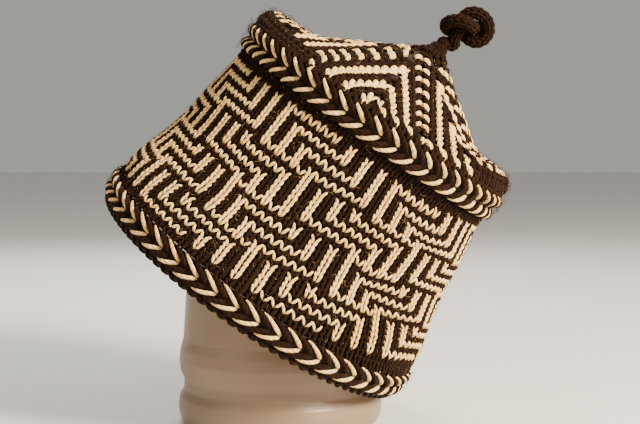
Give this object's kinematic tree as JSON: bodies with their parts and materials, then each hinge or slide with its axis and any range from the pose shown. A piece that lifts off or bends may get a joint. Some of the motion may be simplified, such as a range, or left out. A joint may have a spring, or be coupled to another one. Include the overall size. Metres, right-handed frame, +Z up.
{
  "type": "knitted hat on a plain tub stand",
  "caption": "Stranded knit hat with braided bands, a key pattern wall, a pointed crown and a knotted cord, leaning on a plain upturned tub",
  "frame": {"origin": "centre of the footprint of the whole assembly's bounding box, on the surface that the tub stands on", "axes": "+Z up along the tub's axis, -Y toward the viewer, +X toward the side that the hat leans to"},
  "size_m": [0.1958, 0.1774, 0.2016],
  "materials": {
    "wool_cream": "soft plied wool yarn",
    "wool_dark": "soft plied wool yarn",
    "tub_plastic": "milky satin plastic"
  },
  "bodies": {
    "root": {"brim_edge": "wool_dark", "brim_braid": "wool_cream", "side_wall": "wool_cream", "crown_braid": "wool_cream", "crown": "wool_dark", "top_knot": "wool_dark", "stand_tub": "tub_plastic"}
  },
  "joints": []
}
